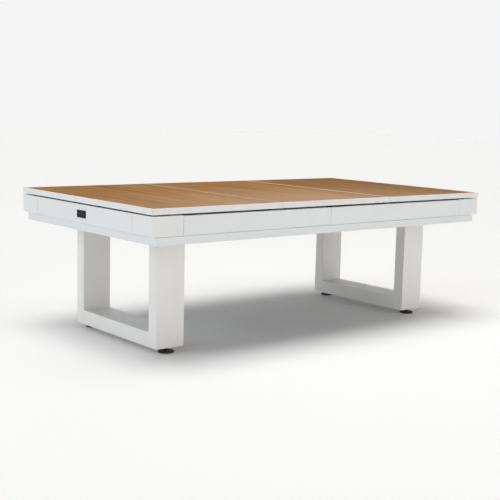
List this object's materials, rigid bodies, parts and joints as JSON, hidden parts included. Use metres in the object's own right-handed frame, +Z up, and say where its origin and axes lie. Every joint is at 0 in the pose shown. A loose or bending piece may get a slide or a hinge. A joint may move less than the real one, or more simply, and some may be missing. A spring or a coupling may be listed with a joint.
{
  "type": "pool table",
  "caption": "Pool table in white powder coat with a lift-off wood-look dining top, box leg frames and levelling feet.",
  "frame": {"origin": "on the floor, under the middle of the table", "axes": "+X along the table, +Y across it, +Z up"},
  "size_m": [2.5, 1.38, 0.812],
  "materials": {
    "white_steel": "satin white powder coat on box-section steel",
    "white_aluminium": "satin white powder coat on aluminium",
    "board": "matt oiled teak-coloured boards with the grain across the table",
    "foot_black": "black moulded pad on a black stud",
    "plate_black": "black satin",
    "frame_aluminium": "mill finish",
    "bolt_steel": "zinc plated",
    "slate": "ground grey slate",
    "cloth": "green woven cloth",
    "cushion": "green woven cloth over rubber",
    "pocket_black": "black moulded liner with a fine grain",
    "sight_black": "black inlay",
    "pad_rubber": "black rubber"
  },
  "bodies": {
    "table": {"leg_post_left_front": "white_steel", "leg_post_left_back": "white_steel", "leg_post_right_front": "white_steel", "leg_post_right_back": "white_steel", "leg_bar_left": "white_steel", "leg_bar_right": "white_steel", "leg_flanges": "white_steel", "bed_beam_front": "frame_aluminium", "bed_beam_back": "frame_aluminium", "bed_cross_beams": "frame_aluminium", "frame_bolts": "bolt_steel", "lower_apron_left": "white_aluminium", "lower_apron_right": "white_aluminium", "lower_apron_front": "white_aluminium", "lower_apron_back": "white_aluminium", "corner_block_left_front": "white_aluminium", "corner_block_left_back": "white_aluminium", "corner_block_right_front": "white_aluminium", "corner_block_right_back": "white_aluminium", "end_panel_left": "white_aluminium", "end_panel_right": "white_aluminium", "side_panel_left_front": "white_aluminium", "side_panel_left_back": "white_aluminium", "side_panel_right_front": "white_aluminium", "side_panel_right_back": "white_aluminium", "end_rail_left": "white_aluminium", "end_rail_right": "white_aluminium", "side_rail_left_front": "white_aluminium", "side_rail_left_back": "white_aluminium", "side_rail_right_front": "white_aluminium", "side_rail_right_back": "white_aluminium", "name_plate": "plate_black", "slate_left": "slate", "slate_middle": "slate", "slate_right": "slate", "bed_cloth": "cloth", "end_cushion_left": "cushion", "end_cushion_right": "cushion", "side_cushion_left_front": "cushion", "side_cushion_left_back": "cushion", "side_cushion_right_front": "cushion", "side_cushion_right_back": "cushion", "corner_pocket_left_front": "pocket_black", "corner_pocket_left_back": "pocket_black", "corner_pocket_right_front": "pocket_black", "corner_pocket_right_back": "pocket_black", "side_pocket_front": "pocket_black", "side_pocket_back": "pocket_black", "rail_sights": "sight_black", "rest_pads": "pad_rubber"},
    "dining_panel_left": {"dining_frame_left": "white_aluminium", "dining_boards_left": "board"},
    "dining_panel_middle": {"dining_frame_middle": "white_aluminium", "dining_boards_middle": "board"},
    "dining_panel_right": {"dining_frame_right": "white_aluminium", "dining_boards_right": "board"},
    "foot_left_front": {"levelling_foot_left_front": "foot_black"},
    "foot_left_back": {"levelling_foot_left_back": "foot_black"},
    "foot_right_front": {"levelling_foot_right_front": "foot_black"},
    "foot_right_back": {"levelling_foot_right_back": "foot_black"}
  },
  "joints": [
    {"name": "lift_dining_panel_left", "type": "slide", "parent": "table", "child": "dining_panel_left", "axis": [0, 0, 1], "range_m": [0, 0.35]},
    {"name": "lift_dining_panel_middle", "type": "slide", "parent": "table", "child": "dining_panel_middle", "axis": [0, 0, 1], "range_m": [0, 0.35]},
    {"name": "lift_dining_panel_right", "type": "slide", "parent": "table", "child": "dining_panel_right", "axis": [0, 0, 1], "range_m": [0, 0.35]},
    {"name": "extend_foot_left_front", "type": "slide", "parent": "table", "child": "foot_left_front", "axis": [0, 0, -1], "range_m": [0, 0.025]},
    {"name": "extend_foot_left_back", "type": "slide", "parent": "table", "child": "foot_left_back", "axis": [0, 0, -1], "range_m": [0, 0.025]},
    {"name": "extend_foot_right_front", "type": "slide", "parent": "table", "child": "foot_right_front", "axis": [0, 0, -1], "range_m": [0, 0.025]},
    {"name": "extend_foot_right_back", "type": "slide", "parent": "table", "child": "foot_right_back", "axis": [0, 0, -1], "range_m": [0, 0.025]}
  ]
}
